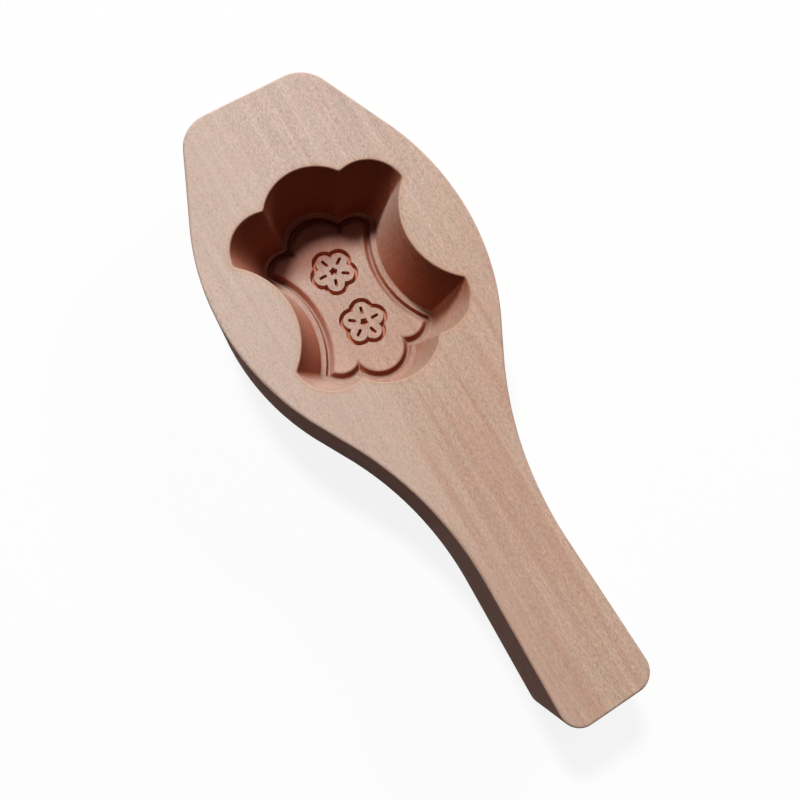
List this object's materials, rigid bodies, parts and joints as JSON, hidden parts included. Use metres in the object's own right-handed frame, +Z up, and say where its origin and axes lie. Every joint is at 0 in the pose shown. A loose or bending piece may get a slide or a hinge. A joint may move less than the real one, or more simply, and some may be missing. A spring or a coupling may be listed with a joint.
{
  "type": "mooncake mold",
  "caption": "Paddle-shaped wooden mooncake mold with a deep lobed pocket, an engraved floor and a flat handle; it shapes filled dough that is then knocked out.",
  "frame": {"origin": "middle of the board's length and width, on its underside", "axes": "+X from the head end to the handle end, +Z up out of the pocket's mouth, +Y across the board"},
  "size_m": [0.2, 0.0784, 0.034],
  "materials": {
    "wood": "fine-sanded, unvarnished hardwood"
  },
  "bodies": {
    "root": {"mold_body": "wood"}
  },
  "joints": []
}
